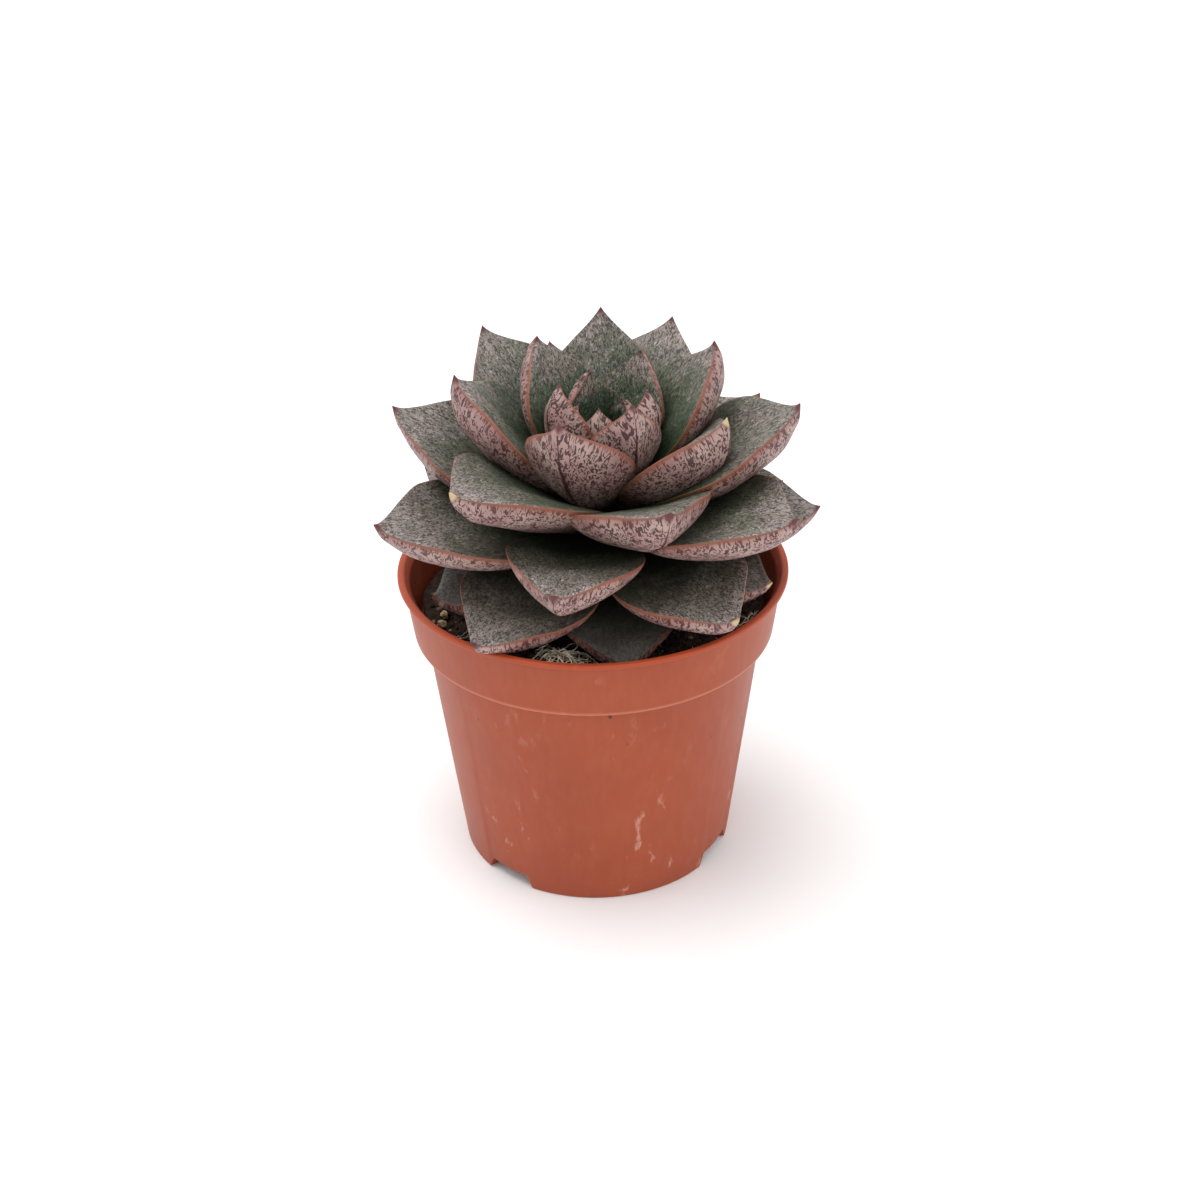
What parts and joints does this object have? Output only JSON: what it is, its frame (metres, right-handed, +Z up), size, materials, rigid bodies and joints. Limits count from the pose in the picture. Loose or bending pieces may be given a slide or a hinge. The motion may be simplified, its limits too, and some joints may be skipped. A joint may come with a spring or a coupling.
{
  "type": "potted echeveria",
  "caption": "Rosette succulent with fleshy pointed leaves, growing in a small round plastic nursery pot filled with soil.",
  "frame": {"origin": "on the floor, below the middle of the plant's overall width and depth", "axes": "+Z up along the stem, -Y towards the front that the rosette leans to, +X to the right"},
  "size_m": [0.0595, 0.0598, 0.0763],
  "materials": {
    "pot": "satin terracotta-coloured polypropylene, light scuffs and dust",
    "soil": "dark brown crumbly peat potting mix",
    "stem": "short green-brown stem, hidden by the leaves",
    "leaf": "waxy satin leaf skin, grey-green and mauve with fine dark mottling and copper margins",
    "leaf_withered": "dry brown shrivelled leaf",
    "pumice": "pale porous mineral grain"
  },
  "bodies": {
    "root": {"pot": "pot", "soil": "soil", "stem": "stem", "leaf_01": "leaf", "leaf_02": "leaf", "leaf_03": "leaf", "leaf_04": "leaf", "leaf_05": "leaf", "leaf_06": "leaf", "leaf_07": "leaf", "leaf_08": "leaf", "leaf_09": "leaf", "leaf_10": "leaf", "leaf_11": "leaf", "leaf_12": "leaf", "leaf_13": "leaf", "leaf_14": "leaf", "leaf_15": "leaf", "leaf_16": "leaf", "leaf_17": "leaf", "leaf_18": "leaf", "leaf_19": "leaf", "leaf_20": "leaf", "leaf_21": "leaf", "leaf_22": "leaf", "leaf_23": "leaf", "leaf_24": "leaf", "leaf_25": "leaf", "leaf_26": "leaf", "leaf_27": "leaf", "leaf_28": "leaf", "leaf_29": "leaf", "leaf_30": "leaf", "leaf_31": "leaf", "leaf_32": "leaf", "leaf_33": "leaf", "leaf_34": "leaf", "leaf_35": "leaf", "leaf_36": "leaf", "leaf_37": "leaf", "leaf_38": "leaf", "leaf_withered": "leaf_withered", "pumice_1": "pumice", "pumice_2": "pumice", "pumice_3": "pumice", "pumice_4": "pumice", "pumice_5": "pumice", "pumice_6": "pumice", "pumice_7": "pumice", "pumice_8": "pumice"}
  },
  "joints": []
}
